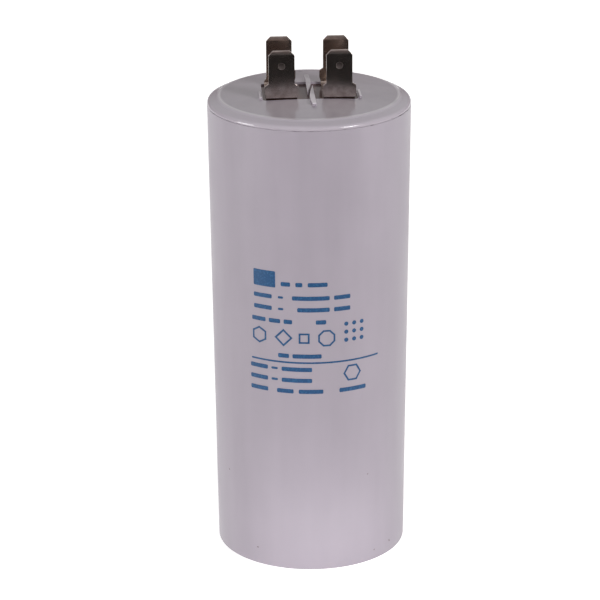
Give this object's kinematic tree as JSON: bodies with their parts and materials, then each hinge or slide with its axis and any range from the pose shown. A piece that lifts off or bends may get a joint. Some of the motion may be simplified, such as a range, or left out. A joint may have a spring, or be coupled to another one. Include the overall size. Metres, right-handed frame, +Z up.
{
  "type": "motor capacitor",
  "caption": "Drafted cylindrical plastic motor capacitor with a raised lid, divider fins and double push-on tabs, and a potted film winding inside.",
  "frame": {"origin": "middle of the flat base", "axes": "+Z up along the case to the tabs, +X from the left pole to the right pole, -Y towards the viewer"},
  "size_m": [0.05, 0.05, 0.13],
  "materials": {
    "case_plastic": "semi-gloss moulded",
    "cover_plastic": "smooth moulded",
    "terminal_metal": "tinned sheet",
    "rivet_metal": "tinned",
    "tag_metal": "tinned",
    "solder": "dull",
    "lead_wire": "bare copper",
    "sleeve_plastic": "extruded",
    "film": "metallised film roll",
    "core_plastic": "extruded",
    "sprayed_zinc": "rough sprayed",
    "potting_resin": "cast"
  },
  "bodies": {
    "root": {"case": "case_plastic", "cover": "cover_plastic", "terminal_left": "terminal_metal", "terminal_right": "terminal_metal", "rivet_left": "rivet_metal", "rivet_right": "rivet_metal", "solder_tag_left": "tag_metal", "solder_tag_right": "tag_metal", "tag_solder_left": "solder", "tag_solder_right": "solder", "short_lead": "lead_wire", "long_lead": "lead_wire", "lead_sleeve": "sleeve_plastic", "winding": "film", "core_tube": "core_plastic", "end_spray_upper": "sprayed_zinc", "end_spray_lower": "sprayed_zinc", "solder_upper": "solder", "solder_lower": "solder", "resin": "potting_resin"}
  },
  "joints": []
}
